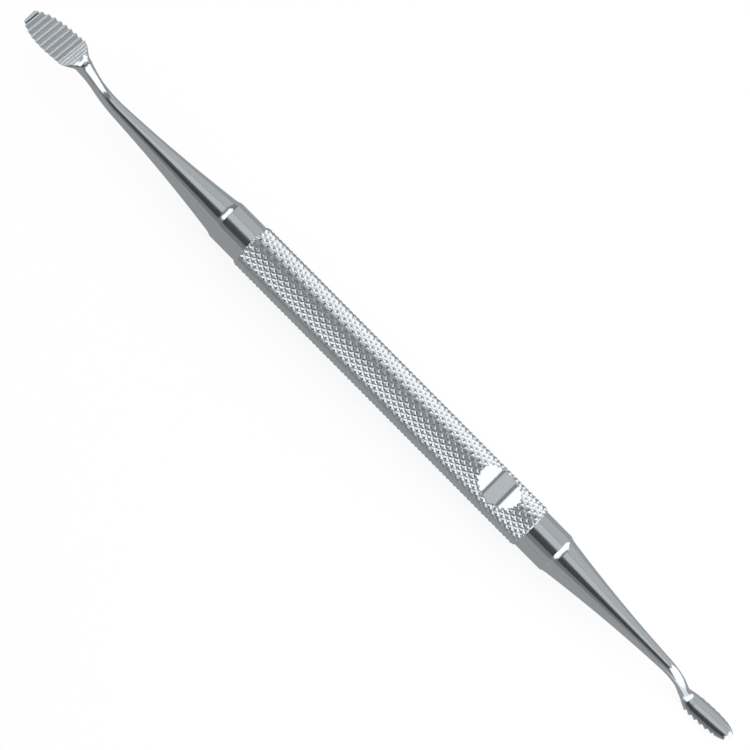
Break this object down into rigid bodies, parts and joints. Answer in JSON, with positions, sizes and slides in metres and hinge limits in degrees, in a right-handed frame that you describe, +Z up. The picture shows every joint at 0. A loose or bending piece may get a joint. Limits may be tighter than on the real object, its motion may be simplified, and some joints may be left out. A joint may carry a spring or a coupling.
{
  "type": "double-ended bone file",
  "caption": "Double-ended steel bone file with a diamond-knurled grip, a thumb scoop, tapered shanks and two bent, toothed heads facing opposite ways.",
  "frame": {"origin": "bottom centre of the part's bounding box, on the table that it lies on", "axes": "+X along the handle to the small head, +Z up and on the large head's toothed side, with XZ the plane that both necks bend in"},
  "size_m": [0.175, 0.0088, 0.0107],
  "materials": {
    "steel": "bright polished stainless steel, with satin file teeth"
  },
  "bodies": {
    "root": {"bone_file": "steel"}
  },
  "joints": []
}
